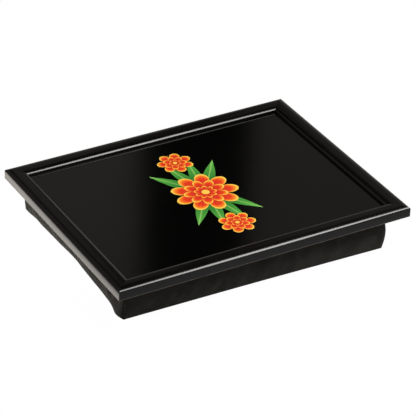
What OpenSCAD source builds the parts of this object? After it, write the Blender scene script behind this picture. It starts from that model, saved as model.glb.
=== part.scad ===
// Lap tray: a mitred frame round a laminated board, carried by a flat bead cushion in a zipped cover.
// Lengths are in millimetres. The origin is on the floor, under the middle of the frame.
// +X runs along the long side, -Y is the front and +Z is up.

/* [Frame] */
// Width of the frame over its outer faces
frame_w = 430; // [400:1:480]
// Depth of the frame over its outer faces
frame_d = 330; // [310:1:370]
// Width of a rail, seen from above
rail_w = 23.3; // [21:0.1:28]
// Height of a rail
rail_h = 15.2; // [14:0.1:18]
// Width of a rail's outer shoulder, seen from above
outer_shoulder_w = 9.5; // [4:0.5:10]
// Height of a rail's outer shoulder
outer_shoulder_h = 3.6; // [2:0.1:5]
// Width of a rail's inner shoulder, seen from above
inner_shoulder_w = 8; // [4:0.5:10]
// Height of the upright nose under a rail's inner shoulder
nose_h = 1.4; // [0.3:0.1:2]
// Chamfer along a rail's bottom outer edge
arris = 0.8; // [0.4:0.1:1.5]
// Rounding of the frame's four outside corners
corner_r = 1.2; // [0.5:0.1:2.5]
// Width of the rebate that the boards lie in
rebate_w = 6; // [5:0.5:7]

/* [Boards] */
// Thickness of the glossy laminate that forms the tray's surface
laminate_t = 0.7; // [0.5:0.1:1]
// Thickness of the fibreboard under the laminate
board_t = 5; // [3:0.5:6.5]
// Thickness of the backing board
backing_t = 2; // [1:0.1:2.5]
// Play between the boards' edges and the rebate
board_play = 0.5; // [0.2:0.1:1]

/* [Frame fastenings] */
// Thickness of a glazing point
point_t = 0.4; // [0.3:0.1:0.6]
// Width of a glazing point
point_w = 6; // [4:0.5:8]
// Length of a glazing point that lies under the backing board
point_out = 5; // [3:0.5:6]
// Length of a glazing point that is pressed into the rail
point_in = 5; // [3:0.5:7]
// Height of the glazing points over the frame's underside
point_recess = 0.2; // [0.1:0.1:0.4]
// Spacing of the glazing points along the long rails
point_pitch_x = 130; // [80:5:160]
// Spacing of the glazing points along the short rails
point_pitch_y = 130; // [80:5:160]
// Length of one leg of a V-nail
nail_leg = 5; // [4:0.5:6]
// Thickness of a V-nail
nail_t = 0.6; // [0.4:0.1:0.8]
// Height of a V-nail
nail_h = 7; // [5:0.5:9]
// Distance of the outer V-nail from the rails' outer faces
nail_outer_in = 8; // [7:0.5:9]
// Distance of the inner V-nail from the rails' outer faces
nail_inner_in = 13.5; // [13:0.5:14]
// Depth of the V-nails below the frame's underside
nail_recess = 0.3; // [0.1:0.1:1]

/* [Hook and loop strips] */
// Width of a strip
strip_w = 20; // [16:1:25]
// Distance of the front and back strips' ends from the top panel's side edges
strip_long_end = 42.5; // [30:0.5:80]
// Distance of the left and right strips' ends from the top panel's front and back edges
strip_short_end = 49; // [30:0.5:80]
// Distance of the strips from the edge of the cushion's top panel
strip_edge = 8; // [5:1:15]
// Thickness of a hook strip, on the tray
hook_t = 1.1; // [0.8:0.1:1.5]
// Thickness of a loop strip, on the cushion
loop_t = 1; // [0.8:0.1:1.5]
// Gap between a hook strip and its loop strip
grip_gap = 0.3; // [0.2:0.1:0.6]

/* [Cushion] */
// Height of the cushion, from the floor to its top panel
cushion_h = 42.2; // [38:0.1:60]
// Overhang of the frame past the top panel's left edge
overhang_left = 20; // [18:0.5:30]
// Overhang of the frame past the top panel's right edge
overhang_right = 25; // [18:0.5:30]
// Overhang of the frame past the top panel's front edge
overhang_front = 21; // [18:0.5:30]
// Overhang of the frame past the top panel's back edge
overhang_back = 21; // [18:0.5:30]
// How far the base panel reaches past the top panel on the left
base_left_out = 1.5; // [0:0.5:4]
// How far the base panel reaches past the top panel at the front
base_front_out = 6; // [0:0.5:8]
// How far the base panel is drawn in from the top panel on the right
base_right_in = 6.5; // [0:0.5:8]
// How far the base panel is drawn in from the top panel at the back
base_back_in = 2; // [0:0.5:4]
// Turn of the base panel under the tray, in degrees
base_turn_angle = -1; // [-1.5:0.1:1.5]
// Crown of the top panel inside the loop strips
top_crown = 1.5; // [0.5:0.1:1.8]
// Thickness of the cover's fabric
fabric_t = 0.8; // [0.6:0.1:1.2]
// Depth to which the rounded base is pressed flat by the floor
stand_cut = 0.5; // [0.5:0.1:1]

/* [Cushion sides] */
// Swell of the front side at mid height
bulge_front = 1; // [0:0.1:5]
// Swell of the right side at mid height
bulge_right = 5; // [0:0.1:7]
// Swell of the back side, along the zip
bulge_back = 3; // [2:0.1:6]
// Swell of the left side at mid height
bulge_left = 0.5; // [0:0.1:5]
// How far the front's bottom seam is drawn in between the corners
draw_front = 0.8; // [0:0.1:6]
// How far the right side's bottom seam is drawn in
draw_right = 4.5; // [0:0.1:8]
// How far the back's bottom seam is drawn in
draw_back = 2.5; // [0:0.1:6]
// How far the left side's bottom seam is drawn in
draw_left = 5.5; // [0:0.1:8]
// Rise of the front's bottom seam between the corners
lift_front = 0.6; // [0:0.1:4]
// Rise of the right side's bottom seam
lift_right = 2.5; // [0:0.1:5]
// Rise of the back's bottom seam
lift_back = 1.5; // [0:0.1:4]
// Rise of the left side's bottom seam
lift_left = 2.5; // [0:0.1:5]

/* [Zip] */
// Distance of the chain's ends from the top panel's side edges
zip_end = 42.5; // [30:0.5:80]
// Height of the zip over the floor
zip_z = 21; // [19:0.5:23]
// Height of the slot that shows the zip
zip_slot = 8; // [7.5:0.5:10]
// Thickness of a tape
tape_t = 0.6; // [0.4:0.1:0.8]
// Width of the tape that the cover's fabric hides, on each side
tape_hidden = 6; // [4:0.5:7]
// Distance of the tapes' ends from the top panel's side edges
tape_end = 6.5; // [6:0.5:15]
// Radius of a coil row
coil_r = 1.1; // [0.9:0.05:1.2]
// Gap between the two coil rows
coil_gap = 0.8; // [0.6:0.1:1]
// Length of an end stop
stop_l = 2.5; // [2:0.5:4]

/* [Zip slider] */
// Length of the slider
slider_l = 9; // [8:0.5:11]
// Thickness of the slider's plates
slider_t = 1; // [0.8:0.1:1.2]
// Corner radius of the slider's plates
slider_r = 1.5; // [1:0.1:2]
// Width of the slider's flanges
flange_w = 0.65; // [0.5:0.05:0.7]
// Length of the web between the coil rows
web_l = 2.5; // [2:0.5:4]
// Play round the slider
slider_play = 0.15; // [0.1:0.01:0.2]
// Outer radius of the slider's bow
bow_r = 3; // [2.6:0.1:3.5]
// Thickness of the bow
bow_t = 1; // [0.8:0.1:1.1]
// Width of the bow
bow_w = 1.8; // [1.4:0.1:2.2]

/* [Zip pull] */
// Length of the pull from its crossbar to its round end
pull_l = 22; // [16:0.5:30]
// Width of the pull
pull_w = 6; // [5.5:0.5:8]
// Thickness of the pull
pull_t = 0.9; // [0.7:0.1:1]
// Radius of the crossbar
crossbar_r = 0.5; // [0.4:0.05:0.55]
// Width of the arms beside the bow
arm_w = 1; // [0.8:0.1:1.2]
// Play round the bow and the crossbar
pull_play = 0.3; // [0.2:0.05:0.35]
// Radius of the hole in the pull's round end
pull_hole_r = 1.2; // [0.8:0.1:1.6]

/* [Hidden] */
$fn = 64;
// Overrun of every cut
over = 1;
// Flat facets of a rail's oval shoulder
shoulder_facets = 10;
// Gap at the sewn seams and behind the cover's fabric
seam_gap = 0.1;
// Gap between the cover and the bead bag
bag_gap = 0.4;
// Half the angle between a V-nail's legs
nail_angle = 60;
// Cells of a panel along X, along Y, and rows of cells that stay flat under the strips
cells_x_count = 12;
cells_y_count = 8;
// Share of the panel over which the base rises towards its seams
rise_share = 0.25;
// Clear border between the strips and the crown
crown_edge = 2;
// Room between the tabs at the zip's ends and the side walls
tab_edge = 1.5;

// Signs of X and Y at the corners: front left, front right, back right, back left
corner_signs = [[-1, -1], [1, -1], [1, 1], [-1, 1]];
// The place of a side in the lists below, which is also that of its first corner
function side_index(side) = side == "front" ? 0 : side == "right" ? 1 : side == "back" ? 2 : 3;
function is_long(side) = side == "front" || side == "back";
// Outward directions, draws and lifts of the sides
outward = [[0, -1], [1, 0], [0, 1], [-1, 0]];
draws = [draw_front, draw_right, draw_back, draw_left];
lifts = [lift_front, lift_right, lift_back, lift_left];

// Heights in the frame: the boards fill the rebate down to the glazing points
backing_low = point_recess + point_t;
board_low = backing_low + backing_t;
laminate_low = board_low + board_t;
rebate_h = laminate_low + laminate_t;
inner_shoulder_h = rail_h - rebate_h - nose_h;
// The frame's underside over the floor
frame_z = cushion_h + loop_t + grip_gap + hook_t - backing_low;
boards_w = frame_w - 2 * (rail_w - rebate_w + board_play);
boards_d = frame_d - 2 * (rail_w - rebate_w + board_play);

// The cushion's panels follow the frame
top_w = frame_w - overhang_left - overhang_right;
top_d = frame_d - overhang_front - overhang_back;
top_x = (overhang_left - overhang_right) / 2;
top_y = (overhang_front - overhang_back) / 2;
base_w = top_w + base_left_out - base_right_in;
base_d = top_d + base_front_out - base_back_in;
base_x = top_x - (base_left_out + base_right_in) / 2;
base_y = top_y - (base_front_out + base_back_in) / 2;
zip_len = top_w - 2 * zip_end;
tape_len = top_w - 2 * tape_end;

// The back wall's outer face along the zip, and the layers behind and before it
zip_face_y = top_y + top_d / 2 + bulge_back;
tape_face_y = zip_face_y - fabric_t - seam_gap;
tape_back_y = tape_face_y - tape_t;
slider_front_y = tape_face_y + coil_r + slider_play;
slider_back_y = tape_back_y - slider_play - slider_t;
bow_foot_y = slider_front_y + slider_t;
zip_reach = zip_slot / 2 + tape_hidden;
coil_z = coil_gap / 2 + coil_r;
slider_h = 2 * (coil_z + coil_r + slider_play + flange_w);
slider_x = top_x + zip_len / 2 - slider_play - slider_l / 2;
crossbar_y = bow_foot_y + slider_play + crossbar_r;
eye_half = bow_w / 2 + pull_play;
// The eye reaches past the foot of the bow, which is the bow's furthest point from the crossbar
eye_l = norm([bow_r, crossbar_y - bow_foot_y]) + pull_play;
// The bead bag stays inside the cover, and behind the slider's inner plate at the back
bag_in = fabric_t + bag_gap;
bag_back_in = zip_face_y - slider_back_y + bag_gap;

function mix(a, b, share) = a + (b - a) * share;
function hump(share) = 4 * share * (1 - share);
function turned(p, angle) = [
    p[0] * cos(angle) - p[1] * sin(angle),
    p[0] * sin(angle) + p[1] * cos(angle)
];

// Frame rails

// What an oval shoulder takes off the square corner round its centre
module shoulder_waste(w, h) {
    difference() {
        square([w + over, h + over]);
        polygon([
            [0, 0],
            for (i = [0:shoulder_facets])
                [w * cos(90 * i / shoulder_facets), h * sin(90 * i / shoulder_facets)]
        ]);
    }
}

// A rail's section: X runs inwards from the outer face, Y up from the underside
module rail_section() {
    difference() {
        square([rail_w, rail_h]);
        translate([outer_shoulder_w, rail_h - outer_shoulder_h])
            mirror([1, 0])
                shoulder_waste(outer_shoulder_w, outer_shoulder_h);
        translate([rail_w - inner_shoulder_w, rail_h - inner_shoulder_h])
            shoulder_waste(inner_shoulder_w, inner_shoulder_h);
        translate([rail_w - rebate_w, -over])
            square([rebate_w + over, rebate_h + over]);
        polygon([[-over, -over], [arris + over, -over], [-over, arris + over]]);
    }
}

// The frame's plan with its rounded outside corners, as tall as a rail
module frame_block() {
    translate([-frame_w / 2, corner_r - frame_d / 2, 0])
        cube([frame_w, frame_d - 2 * corner_r, rail_h]);
    translate([corner_r - frame_w / 2, -frame_d / 2, 0])
        cube([frame_w - 2 * corner_r, frame_d, rail_h]);
    for (s = corner_signs)
        translate([s[0] * (frame_w / 2 - corner_r), s[1] * (frame_d / 2 - corner_r), 0])
            cylinder(r = corner_r, h = rail_h);
}

// A mitred rail of this length along the front of a frame of this depth
module front_rail(length, depth) {
    translate([0, -depth / 2, 0])
        intersection() {
            translate([-length / 2, 0, 0])
                rotate([90, 0, 90])
                    linear_extrude(length)
                        rail_section();
            linear_extrude(rail_h)
                polygon([
                    [-length / 2, 0],
                    [length / 2, 0],
                    [length / 2 - rail_w, rail_w],
                    [rail_w - length / 2, rail_w]
                ]);
        }
}

// The rail of one side, cut for the V-nails and the glazing points
module frame_rail(side) {
    length = is_long(side) ? frame_w : frame_d;
    depth = is_long(side) ? frame_d : frame_w;
    color("#141312")
        difference() {
            translate([0, 0, frame_z])
                intersection() {
                    rotate([0, 0, 90 * side_index(side)])
                        front_rail(length, depth);
                    frame_block();
                }
            v_nails();
            points();
        }
}

// Frame fastenings

module v_nails() {
    for (s = corner_signs)
        for (inward = [nail_outer_in, nail_inner_in])
            translate([
                s[0] * (frame_w / 2 - inward),
                s[1] * (frame_d / 2 - inward),
                frame_z + nail_recess
            ])
                for (side = [-1, 1])
                    rotate([0, 0, atan2(s[1], s[0]) + side * nail_angle])
                        translate([0, -nail_t / 2, 0])
                            cube([nail_leg, nail_t, nail_h]);
}

module corner_v_nails() {
    color("#8c8c8c")
        v_nails();
}

// One glazing point at the rebate's wall, with X towards the boards
module point() {
    linear_extrude(point_t)
        polygon([
            [-point_in, 0],
            [0, -point_w / 2],
            [point_out, -point_w / 2],
            [point_out, point_w / 2],
            [0, point_w / 2]
        ]);
}

module points() {
    wall_x = frame_w / 2 - rail_w + rebate_w;
    wall_y = frame_d / 2 - rail_w + rebate_w;
    translate([0, 0, frame_z + point_recess]) {
        for (place = [-1, 0, 1])
            for (side = [-1, 1])
                translate([place * point_pitch_x, side * wall_y, 0])
                    rotate([0, 0, -90 * side])
                        point();
        for (place = [-1 / 2, 1 / 2])
            for (side = [-1, 1])
                translate([side * wall_x, place * point_pitch_y, 0])
                    rotate([0, 0, 90 + 90 * side])
                        point();
    }
}

module glazing_points() {
    color("#8c8c8c")
        points();
}

// Boards

module board(low, thick) {
    translate([-boards_w / 2, -boards_d / 2, frame_z + low])
        cube([boards_w, boards_d, thick]);
}

module laminate_sheet() {
    color("#0a0a0a")
        board(laminate_low, laminate_t);
}

module tray_board() {
    color("#8a6a48")
        board(board_low, board_t);
}

module backing_board() {
    color("#4a3828")
        board(backing_low, backing_t);
}

// Hook and loop strips

// The strip of one side, with its underside at this height
module strip(side, low, thick) {
    size = is_long(side)
        ? [top_w - 2 * strip_long_end, strip_w]
        : [strip_w, top_d - 2 * strip_short_end];
    inset = strip_edge + strip_w / 2;
    direction = outward[side_index(side)];
    middle = [
        top_x + direction[0] * (top_w / 2 - inset),
        top_y + direction[1] * (top_d / 2 - inset)
    ];
    translate([middle[0] - size[0] / 2, middle[1] - size[1] / 2, low])
        cube([size[0], size[1], thick]);
}

module hook_strip(side) {
    color("#181818")
        strip(side, frame_z + backing_low - hook_t, hook_t);
}

module loop_strip(side) {
    color("#202020")
        strip(side, cushion_h, loop_t);
}

// Cushion form

function base_corner(i) = [base_x, base_y]
    + turned([corner_signs[i][0] * base_w / 2, corner_signs[i][1] * base_d / 2], base_turn_angle);
function top_corner(i) = [top_x, top_y]
    + [corner_signs[i][0] * top_w / 2, corner_signs[i][1] * top_d / 2];

// How far a height lies past the flat band behind the zip, as a share of the way to the base or the top
function past_zip(z) = z < zip_z - zip_reach
    ? (zip_z - zip_reach - z) / (zip_z - zip_reach)
    : z > zip_z + zip_reach ? (z - zip_z - zip_reach) / (cushion_h - zip_z - zip_reach) : 0;

// Y of the back wall at a corner: flat along the zip, and curved in to the base and the top
function back_y(i, z) = mix(
    zip_face_y,
    z < zip_z ? base_corner(i)[1] : top_corner(i)[1],
    pow(past_zip(z), 2)
);

// Corner i of the cushion at one height, moved in by the insets
function column(i, z, inset, back_inset) =
    let (
        share = z / cushion_h,
        sx = corner_signs[i][0],
        bulge_x = sx > 0 ? bulge_right : bulge_left,
        low = base_corner(i),
        high = top_corner(i)
    )
    [
        mix(low[0], high[0], share) + sx * (hump(share) * bulge_x - inset),
        corner_signs[i][1] > 0
            ? back_y(i, z) - back_inset
            : mix(low[1], high[1], share) - hump(share) * bulge_front + inset
    ];

// How much of a side's draw acts at one height: all at the base, and none along the zip
function draw_weight(side, z) = side == "back"
    ? (z < zip_z ? pow(past_zip(z), 2) : 0)
    : pow(1 - z / cushion_h, 2);

// A point of one side, at a share of the way from its first corner to its second
function side_point(side, share, z, inset, back_inset) =
    let (i = side_index(side))
    mix(
        column(i, z, inset, back_inset),
        column((i + 1) % len(corner_signs), z, inset, back_inset),
        share
    ) - outward[i] * draws[i] * draw_weight(side, z) * hump(share);

// Height of the base panel's lower face at a seam
function seam_z(side, share) = max(0, lifts[side_index(side)] * hump(share) - stand_cut);

// Shares along a panel: a border for the strips, and even cells inside it
rim = strip_edge + strip_w + crown_edge;
function shares(cells, length) = [
    for (i = [0 : cells])
        i == 0 ? 0 : i == cells ? 1 : mix(rim / length, 1 - rim / length, (i - 1) / (cells - 2))
];
shares_x = shares(cells_x_count, top_w);
shares_y = shares(cells_y_count, top_d);

// A point inside the outline that four side functions give, at shares u along X and v along Y
function seam_point(side, share, inset, back_inset) =
    side_point(side, share, seam_z(side, share), inset, back_inset);
function top_point(side, share, inset, back_inset) =
    side_point(side, share, cushion_h, inset, back_inset);
function blended(front, right, back, left, corners, u, v) =
    mix(front, back, v) + mix(left, right, u)
    - mix(mix(corners[0], corners[1], u), mix(corners[3], corners[2], u), v);
function base_xy(u, v, inset, back_inset) = blended(
    seam_point("front", u, inset, back_inset),
    seam_point("right", v, inset, back_inset),
    seam_point("back", 1 - u, inset, back_inset),
    seam_point("left", 1 - v, inset, back_inset),
    [for (i = [0 : 3]) column(i, 0, inset, back_inset)],
    u, v
);
function top_xy(u, v, inset, back_inset) = blended(
    top_point("front", u, inset, back_inset),
    top_point("right", v, inset, back_inset),
    top_point("back", 1 - u, inset, back_inset),
    top_point("left", 1 - v, inset, back_inset),
    [for (i = [0 : 3]) column(i, cushion_h, inset, back_inset)],
    u, v
);

// The base rises towards each seam, and is pressed flat where the cushion stands
function edge_weight(share) = pow(max(0, 1 - share / rise_share), 2);
function base_z(u, v) = max(0,
    lift_front * hump(u) * edge_weight(v)
    + lift_back * hump(u) * edge_weight(1 - v)
    + lift_left * hump(v) * edge_weight(u)
    + lift_right * hump(v) * edge_weight(1 - u)
    - stand_cut
);

// The top is flat under the strips and crowned inside them
function crown_share(share, length) =
    hump(min(1, max(0, (share - rim / length) / (1 - 2 * rim / length))));
function crown_z(u, v) = top_crown * crown_share(u, top_w) * crown_share(v, top_d);

function base_grid(lift, inset, back_inset) = [
    for (v = shares_y) [
        for (u = shares_x)
            let (p = base_xy(u, v, inset, back_inset))
            [p[0], p[1], base_z(u, v) + lift]
    ]
];
function top_grid(drop, inset, back_inset) = [
    for (v = shares_y) [
        for (u = shares_x)
            let (p = top_xy(u, v, inset, back_inset))
            [p[0], p[1], cushion_h + crown_z(u, v) - drop]
    ]
];

// Rows of a wall, from the base seam to the top seam
wall_top = cushion_h - fabric_t - seam_gap;
middle_rows = [
    zip_z - zip_reach,
    zip_z - zip_slot / 2,
    zip_z + zip_slot / 2,
    zip_z + zip_reach,
    mix(zip_z + zip_reach, wall_top, 1 / 2),
    wall_top
];
function row_z(side, share, row) = row == 0
    ? seam_z(side, share) + fabric_t + seam_gap
    : middle_rows[row - 1];
function wall_grid(side, rows, inset) =
    let (along = is_long(side) ? shares_x : shares_y)
    [
        for (row = rows) [
            for (share = along)
                let (
                    z = row_z(side, share, row),
                    p = side_point(side, share, z, inset, inset)
                )
                [p[0], p[1], z]
        ]
    ];

// Two triangles, clockwise from outside where a, b, c, d run the other way round
function quad(a, b, c, d) = [[a, c, b], [a, d, c]];

// A closed sheet between a face and a back, each a grid of points that runs anticlockwise from outside
module sheet(face, back) {
    rows = len(face);
    cols = len(face[0]);
    half = rows * cols;
    points = concat([for (row = face) each row], [for (row = back) each row]);
    cells = concat(
        [for (i = [0 : rows - 2]) for (j = [0 : cols - 2]) let (a = i * cols + j)
            each quad(a, a + 1, a + cols + 1, a + cols)],
        [for (i = [0 : rows - 2]) for (j = [0 : cols - 2]) let (a = half + i * cols + j)
            each quad(a + cols, a + cols + 1, a + 1, a)],
        [for (j = [0 : cols - 2]) each quad(half + j, half + j + 1, j + 1, j)],
        [for (j = [0 : cols - 2]) let (a = half - cols + j)
            each quad(a, a + 1, half + a + 1, half + a)],
        [for (i = [0 : rows - 2]) let (a = i * cols)
            each quad(half + a, a, a + cols, half + a + cols)],
        [for (i = [0 : rows - 2]) let (a = i * cols + cols - 1)
            each quad(a, half + a, half + a + cols, a + cols)]
    );
    polyhedron(points = points, faces = cells);
}

// Cover

cover_colour = "#242320";

module cover_top_panel() {
    color(cover_colour)
        sheet(top_grid(0, 0, 0), top_grid(fabric_t, 0, 0));
}

module cover_base_panel() {
    color(cover_colour)
        sheet(base_grid(fabric_t, 0, 0), base_grid(0, 0, 0));
}

// A wall of one side between two of its rows
module cover_wall(side, rows) {
    color(cover_colour)
        sheet(wall_grid(side, rows, 0), wall_grid(side, rows, fabric_t));
}

// A fabric tab that closes the slot between the zip's end stop and the side wall
module zip_tab(side) {
    side_sign = outward[side_index(side)][0];
    corner = side_index(side == "right" ? "back" : side);
    slot_ends = [for (z = [zip_z - zip_slot / 2, zip_z + zip_slot / 2]) abs(column(corner, z, 0, 0)[0])];
    outer = min(slot_ends) - fabric_t - tab_edge;
    inner = side_sign * top_x + zip_len / 2 + stop_l + seam_gap;
    color(cover_colour)
        translate([
            side_sign > 0 ? inner : -outer,
            zip_face_y - fabric_t,
            zip_z - zip_slot / 2 + seam_gap
        ])
            cube([outer - inner, fabric_t, zip_slot - 2 * seam_gap]);
}

// Filling

module bead_bag() {
    color("#d8d4c8")
        sheet(
            top_grid(bag_in, bag_in, bag_back_in),
            base_grid(bag_in, bag_in, bag_back_in)
        );
}

// Zip

// One tape, above the chain for a side of 1 and below it for -1
module zip_tape(side) {
    inner = coil_gap / 2;
    color("#1b1b1b")
        translate([top_x - tape_len / 2, tape_back_y, zip_z])
            mirror([0, 0, side > 0 ? 0 : 1])
                translate([0, 0, inner])
                    cube([tape_len, tape_t, zip_reach - inner]);
}

// One row of the coil, half round on the tape's face
module zip_coil(side) {
    color("#101010")
        translate([top_x - zip_len / 2, tape_face_y, zip_z + side * coil_z])
            rotate([0, 90, 0])
                intersection() {
                    cylinder(r = coil_r, h = zip_len);
                    translate([-coil_r, 0, 0])
                        cube([2 * coil_r, coil_r, zip_len]);
                }
}

// The metal clips at both ends of the chain
module zip_stops() {
    color("#303030")
        for (side = [-1, 1])
            translate([
                top_x + side * (zip_len + stop_l) / 2 - stop_l / 2,
                tape_face_y,
                zip_z - coil_z - coil_r
            ])
                cube([stop_l, coil_r, 2 * (coil_z + coil_r)]);
}

// A plate with rounded corners, in the plane of the zip, with its inner face at Y = 0
module slider_plate() {
    rotate([-90, 0, 0]) {
        translate([-slider_l / 2, slider_r - slider_h / 2, 0])
            cube([slider_l, slider_h - 2 * slider_r, slider_t]);
        translate([slider_r - slider_l / 2, -slider_h / 2, 0])
            cube([slider_l - 2 * slider_r, slider_h, slider_t]);
        for (s = corner_signs)
            translate([s[0] * (slider_l / 2 - slider_r), s[1] * (slider_h / 2 - slider_r), 0])
                cylinder(r = slider_r, h = slider_t);
    }
}

// The half ring that carries the pull
module slider_bow() {
    translate([0, 0, -bow_w / 2])
        difference() {
            cylinder(r = bow_r, h = bow_w);
            translate([0, 0, -over])
                cylinder(r = bow_r - bow_t, h = bow_w + 2 * over);
            translate([-bow_r - over, -bow_r - over, -over])
                cube([2 * (bow_r + over), bow_r + over, bow_w + 2 * over]);
        }
}

module zip_slider() {
    web_z = coil_gap / 2 - slider_play;
    flange_z = coil_z + coil_r + slider_play;
    flange_low = tape_face_y + slider_play;
    color("#2a2a2a")
        translate([slider_x, 0, zip_z]) {
            translate([0, slider_front_y, 0])
                slider_plate();
            translate([0, slider_back_y, 0])
                slider_plate();
            translate([slider_l / 2 - slider_r - web_l, slider_back_y, -web_z])
                cube([web_l, bow_foot_y - slider_back_y, 2 * web_z]);
            for (side = [-1, 1])
                translate([
                    slider_r - slider_l / 2,
                    flange_low,
                    side > 0 ? flange_z : -flange_z - flange_w
                ])
                    cube([slider_l - 2 * slider_r, slider_front_y - flange_low, flange_w]);
            translate([0, bow_foot_y, 0])
                slider_bow();
        }
}

// The pull, which lies back along the zip from its crossbar
module zip_pull() {
    end_r = pull_w / 2;
    plate_l = pull_l - eye_l - end_r;
    arm_out = eye_half + arm_w;
    color("#2a2a2a")
        translate([slider_x, crossbar_y, zip_z]) {
            translate([0, 0, -arm_out])
                cylinder(r = crossbar_r, h = 2 * arm_out);
            for (side = [-1, 1])
                translate([-eye_l, -pull_t / 2, side > 0 ? eye_half : -arm_out])
                    cube([eye_l, pull_t, arm_w]);
            difference() {
                union() {
                    translate([-eye_l - plate_l, -pull_t / 2, -end_r])
                        cube([plate_l, pull_t, pull_w]);
                    translate([-eye_l - plate_l, pull_t / 2, 0])
                        rotate([90, 0, 0])
                            cylinder(r = end_r, h = pull_t);
                }
                translate([-eye_l - plate_l, pull_t / 2 + over, 0])
                    rotate([90, 0, 0])
                        cylinder(r = pull_hole_r, h = pull_t + 2 * over);
            }
        }
}

frame_rail("front");  // frame_rail_front
frame_rail("right");  // frame_rail_right
frame_rail("back");  // frame_rail_back
frame_rail("left");  // frame_rail_left
corner_v_nails();
laminate_sheet();
tray_board();
backing_board();
glazing_points();
hook_strip("front");  // hook_strip_front
hook_strip("right");  // hook_strip_right
hook_strip("back");  // hook_strip_back
hook_strip("left");  // hook_strip_left
loop_strip("front");  // loop_strip_front
loop_strip("right");  // loop_strip_right
loop_strip("back");  // loop_strip_back
loop_strip("left");  // loop_strip_left
cover_top_panel();
cover_base_panel();
cover_wall("front", [0, 1, 2, 3, 4, 5, 6]);  // cover_front_wall
cover_wall("right", [0, 1, 2, 3, 4, 5, 6]);  // cover_right_wall
cover_wall("left", [0, 1, 2, 3, 4, 5, 6]);  // cover_left_wall
cover_wall("back", [3, 4, 5, 6]);  // cover_back_wall_upper
cover_wall("back", [0, 1, 2]);  // cover_back_wall_lower
zip_tab("left");  // zip_tab_left
zip_tab("right");  // zip_tab_right
bead_bag();
zip_tape(1);  // zip_tape_upper
zip_tape(-1);  // zip_tape_lower
zip_coil(1);  // zip_coil_upper
zip_coil(-1);  // zip_coil_lower
zip_stops();
zip_slider();
zip_pull();
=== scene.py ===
"""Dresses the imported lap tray.

It gets lacquered rails, a printed glossy laminate and a sewn bead cushion with its zip. Everything is in
metres, in the frame of the part. Sizes in millimetres are turned into metres with MM.
"""

import math

import bmesh
import bpy
import numpy as np
from mathutils import Matrix, Vector


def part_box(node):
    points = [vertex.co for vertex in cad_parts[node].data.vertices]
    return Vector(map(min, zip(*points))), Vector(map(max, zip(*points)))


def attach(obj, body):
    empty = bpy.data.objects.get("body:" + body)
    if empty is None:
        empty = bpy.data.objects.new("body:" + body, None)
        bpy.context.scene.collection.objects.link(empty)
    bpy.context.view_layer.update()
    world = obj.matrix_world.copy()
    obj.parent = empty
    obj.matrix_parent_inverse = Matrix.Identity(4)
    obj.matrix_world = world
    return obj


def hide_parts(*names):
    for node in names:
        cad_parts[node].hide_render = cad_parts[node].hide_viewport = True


MM = 0.001
SIDES = ("front", "right", "back", "left")
FRONT, RIGHT, BACK, LEFT = range(4)
CORNER_SIGNS = ((-1, -1), (1, -1), (1, 1), (-1, 1))
OUTWARD = ((0, -1), (1, 0), (0, 1), (-1, 0))

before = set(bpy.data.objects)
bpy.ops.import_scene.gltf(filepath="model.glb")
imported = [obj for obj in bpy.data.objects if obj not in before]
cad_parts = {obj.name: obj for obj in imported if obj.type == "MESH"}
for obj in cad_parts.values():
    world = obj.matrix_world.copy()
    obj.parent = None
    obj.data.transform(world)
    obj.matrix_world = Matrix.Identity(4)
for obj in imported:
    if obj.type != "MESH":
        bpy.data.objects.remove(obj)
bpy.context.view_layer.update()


# Camera

CAMERA_PLACE = (-1.31066, -2.25059, 1.64415)
CAMERA_RIGHT = (0.870572, -0.491453, 0.024036)
CAMERA_UP = (0.241511, 0.469358, 0.849338)
CAMERA_BACK = (-0.428692, -0.733605, 0.527302)
CAMERA_LENS = 199.98
CAMERA_SHIFT = (-0.0003, -0.00063)
SENSOR = 36


def make_camera():
    data = bpy.data.cameras.new("camera")
    data.lens = CAMERA_LENS
    data.sensor_width = SENSOR
    data.shift_x, data.shift_y = CAMERA_SHIFT
    data.clip_end = 30
    camera = bpy.data.objects.new("camera", data)
    axes = Matrix((CAMERA_RIGHT, CAMERA_UP, CAMERA_BACK)).transposed()
    camera.matrix_world = Matrix.Translation(CAMERA_PLACE) @ axes.to_4x4()
    bpy.context.collection.objects.link(camera)
    bpy.context.scene.camera = camera


# Shader nodes


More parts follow.
